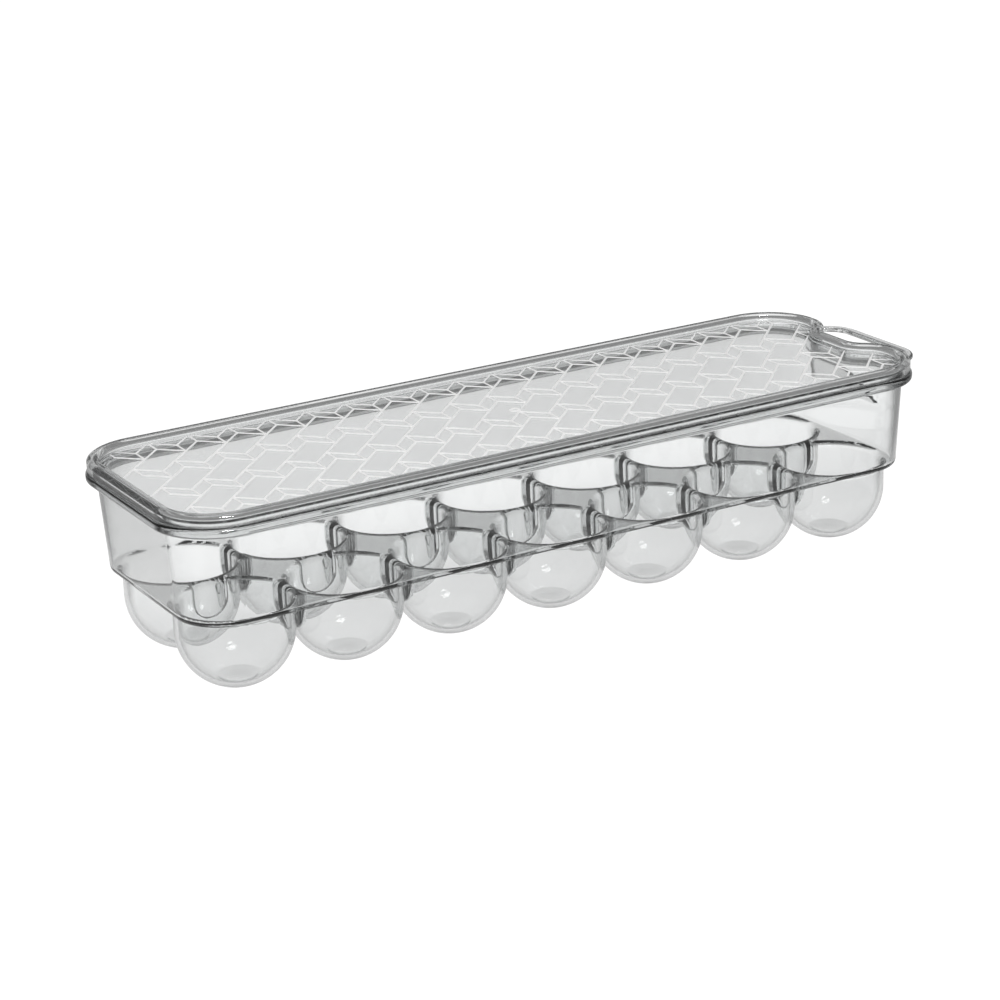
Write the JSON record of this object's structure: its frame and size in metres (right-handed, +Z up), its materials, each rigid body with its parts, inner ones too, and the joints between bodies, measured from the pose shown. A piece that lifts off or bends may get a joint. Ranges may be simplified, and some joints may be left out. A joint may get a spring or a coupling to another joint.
{
  "type": "egg holder tray",
  "caption": "Long two-row egg tray with round cups, sloped walls, a finger-recess handle strap at one end and a flat lift-off lid.",
  "frame": {"origin": "on the resting plane, under the middle of the tray's whole length and width", "axes": "+X along the rows of cups towards the handle strap, +Y across the rows, +Z up towards the lid"},
  "size_m": [0.3754, 0.1164, 0.0827],
  "materials": {
    "tray_plastic": "clear moulded plastic, polished",
    "lid_plastic": "clear moulded plastic, polished, with a raised line pattern"
  },
  "bodies": {
    "tray": {"tray": "tray_plastic"},
    "lid": {"lid": "lid_plastic"}
  },
  "joints": [
    {"name": "lid_lift", "type": "slide", "parent": "tray", "child": "lid", "axis": [0, 0, 1], "range_m": [0, 0.1]}
  ]
}
